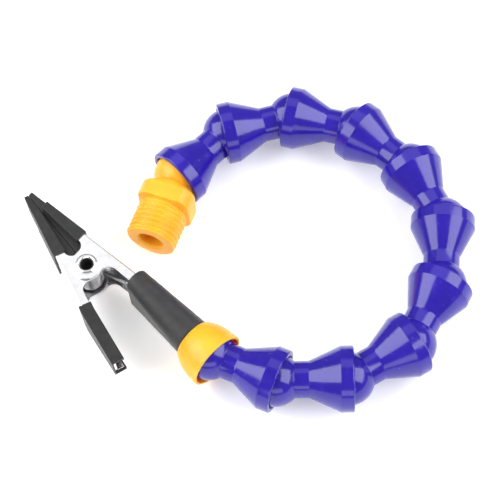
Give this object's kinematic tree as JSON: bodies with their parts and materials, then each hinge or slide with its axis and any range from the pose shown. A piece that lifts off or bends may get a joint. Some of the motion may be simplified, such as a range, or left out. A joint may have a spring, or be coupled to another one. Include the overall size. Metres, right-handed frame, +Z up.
{
  "type": "helping hands clamp",
  "caption": "Flexible ball-jointed hose arm with a threaded end fitting and a sprung crocodile clamp, for holding small work at the bench.",
  "frame": {"origin": "centre of the fitting's open, threaded end", "axes": "+Y runs from the threaded end along the fitting into the arm; the arm curls towards +X and lies with every link's axis in the XY plane; +Z is up from the surface it lies on"},
  "size_m": [0.1149, 0.0905, 0.0162],
  "materials": {
    "hose_blue": "glossy moulded plastic",
    "fitting_orange": "satin moulded plastic",
    "shrink_black": "matte heat-shrink tube",
    "boot_black": "soft matte moulded vinyl",
    "nickel_plate": "bright nickel plate on stamped steel",
    "spring_wire": "drawn spring steel"
  },
  "bodies": {
    "fitting": {"threaded_fitting": "fitting_orange"},
    "hose_link_01": {"link_01": "hose_blue"},
    "hose_link_02": {"link_02": "hose_blue"},
    "hose_link_03": {"link_03": "hose_blue"},
    "hose_link_04": {"link_04": "hose_blue"},
    "hose_link_05": {"link_05": "hose_blue"},
    "hose_link_06": {"link_06": "hose_blue"},
    "hose_link_07": {"link_07": "hose_blue"},
    "hose_link_08": {"link_08": "hose_blue"},
    "hose_link_09": {"link_09": "hose_blue"},
    "hose_link_10": {"link_10": "hose_blue"},
    "clamp_base": {"nozzle": "fitting_orange", "shrink_sleeve": "shrink_black", "fixed_lever": "nickel_plate", "pivot_eyelet": "nickel_plate", "torsion_spring": "spring_wire", "fixed_jaw_boot": "boot_black"},
    "moving_jaw": {"free_lever": "nickel_plate", "free_jaw_boot": "boot_black", "free_handle_boot": "boot_black"}
  },
  "joints": [
    {"name": "ball_01_bend", "type": "hinge", "parent": "fitting", "child": "hose_link_01", "pos_m": [0, 0.0202, 0], "axis": [0, 0, 1], "range_deg": [0, 52]},
    {"name": "ball_02_bend", "type": "hinge", "parent": "hose_link_01", "child": "hose_link_02", "pos_m": [0.0074, 0.03606, 0], "axis": [0, 0, -1], "range_deg": [-66, 0]},
    {"name": "ball_03_bend", "type": "hinge", "parent": "hose_link_02", "child": "hose_link_03", "pos_m": [0.0219, 0.04585, 0], "axis": [0, 0, 1], "range_deg": [0, 64]},
    {"name": "ball_04_bend", "type": "hinge", "parent": "hose_link_03", "child": "hose_link_04", "pos_m": [0.03934, 0.04737, 0], "axis": [0, 0, -1], "range_deg": [-61, 0]},
    {"name": "ball_05_bend", "type": "hinge", "parent": "hose_link_04", "child": "hose_link_05", "pos_m": [0.05568, 0.0411, 0], "axis": [0, 0, 1], "range_deg": [0, 59]},
    {"name": "ball_06_bend", "type": "hinge", "parent": "hose_link_05", "child": "hose_link_06", "pos_m": [0.06805, 0.02873, 0], "axis": [0, 0, -1], "range_deg": [-65, 0]},
    {"name": "ball_07_bend", "type": "hinge", "parent": "hose_link_06", "child": "hose_link_07", "pos_m": [0.07258, 0.01182, 0], "axis": [0, 0, 1], "range_deg": [0, 58]},
    {"name": "ball_08_bend", "type": "hinge", "parent": "hose_link_07", "child": "hose_link_08", "pos_m": [0.07014, -0.00551, 0], "axis": [0, 0, -1], "range_deg": [-67, 0]},
    {"name": "ball_09_bend", "type": "hinge", "parent": "hose_link_08", "child": "hose_link_09", "pos_m": [0.05889, -0.01891, 0], "axis": [0, 0, 1], "range_deg": [0, 65]},
    {"name": "ball_10_bend", "type": "hinge", "parent": "hose_link_09", "child": "hose_link_10", "pos_m": [0.04245, -0.0249, 0], "axis": [0, 0, -1], "range_deg": [-59, 0]},
    {"name": "ball_11_bend", "type": "hinge", "parent": "hose_link_10", "child": "clamp_base", "pos_m": [0.02499, -0.02368, 0], "axis": [0, 0, 1], "range_deg": [0, 49]},
    {"name": "jaw_pivot", "type": "hinge", "parent": "clamp_base", "child": "moving_jaw", "pos_m": [-0.01108, -0.01326, 0], "axis": [0, 0, 1], "range_deg": [0, 22], "stiffness_Nm_per_rad": 0.2, "springref_deg": -22.92, "deforming": ["torsion_spring"]}
  ]
}
